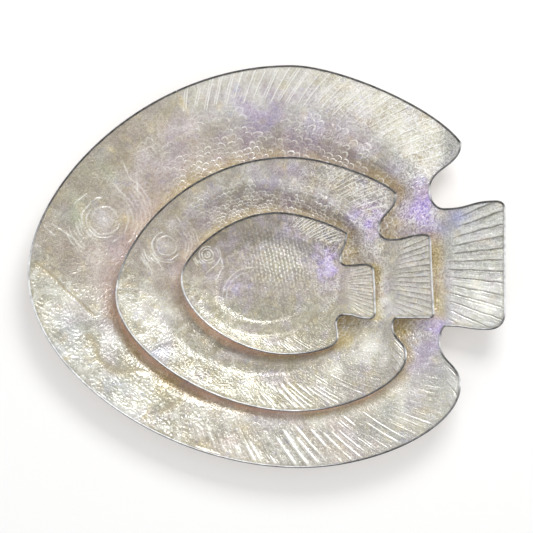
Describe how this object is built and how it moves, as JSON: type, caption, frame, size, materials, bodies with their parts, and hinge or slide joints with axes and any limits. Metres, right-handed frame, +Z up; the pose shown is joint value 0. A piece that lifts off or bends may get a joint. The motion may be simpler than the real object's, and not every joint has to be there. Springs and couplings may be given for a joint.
{
  "type": "nested fish-shaped serving dishes",
  "caption": "Nest of fish-shaped seafood serving dishes of mother-of-pearl shell, each a shallow oval well with a fin and tail brim edged in silver strip; the inner dishes lift out.",
  "frame": {"origin": "under the middle of the largest dish's box, on the plane that its floor stands on", "axes": "+X from nose to tail, +Y towards the dorsal fins, +Z up out of the dishes"},
  "size_m": [0.3812, 0.3218, 0.0348],
  "materials": {
    "shell_face": "lacquered mother-of-pearl, crinkled and pressed with scales and fin rays",
    "shell_back": "satin shell in clear resin",
    "rim_strip": "silver-plated strip, hand folded and slightly tarnished"
  },
  "bodies": {
    "large_dish": {"large_back_ply": "shell_back", "large_pane_floor": "shell_face", "large_pane_tail": "shell_face", "large_pane_dorsal_rear": "shell_face", "large_pane_dorsal_front": "shell_face", "large_pane_nape": "shell_face", "large_pane_cheek": "shell_face", "large_pane_mouth": "shell_face", "large_pane_throat": "shell_face", "large_pane_belly_front": "shell_face", "large_pane_belly_rear": "shell_face", "large_pane_anal_fin": "shell_face", "large_strip_tail": "rim_strip", "large_strip_dorsal": "rim_strip", "large_strip_brow": "rim_strip", "large_strip_belly": "rim_strip"},
    "medium_dish": {"medium_back_ply": "shell_back", "medium_pane_floor": "shell_face", "medium_pane_tail": "shell_face", "medium_pane_dorsal": "shell_face", "medium_pane_nape": "shell_face", "medium_pane_cheek": "shell_face", "medium_pane_chin": "shell_face", "medium_pane_belly": "shell_face", "medium_pane_anal_fin": "shell_face", "medium_strip_tail": "rim_strip", "medium_strip_back": "rim_strip", "medium_strip_belly": "rim_strip"},
    "small_dish": {"small_back_ply": "shell_back", "small_pane_floor": "shell_face", "small_pane_tail": "shell_face", "small_pane_dorsal": "shell_face", "small_pane_head": "shell_face", "small_pane_belly": "shell_face", "small_strip_tail": "rim_strip", "small_strip_back": "rim_strip", "small_strip_belly": "rim_strip"}
  },
  "joints": [
    {"name": "medium_lift", "type": "slide", "parent": "large_dish", "child": "medium_dish", "axis": [0, 0, 1], "range_m": [0, 0.12]},
    {"name": "small_lift", "type": "slide", "parent": "medium_dish", "child": "small_dish", "axis": [0, 0, 1], "range_m": [0, 0.12]}
  ]
}
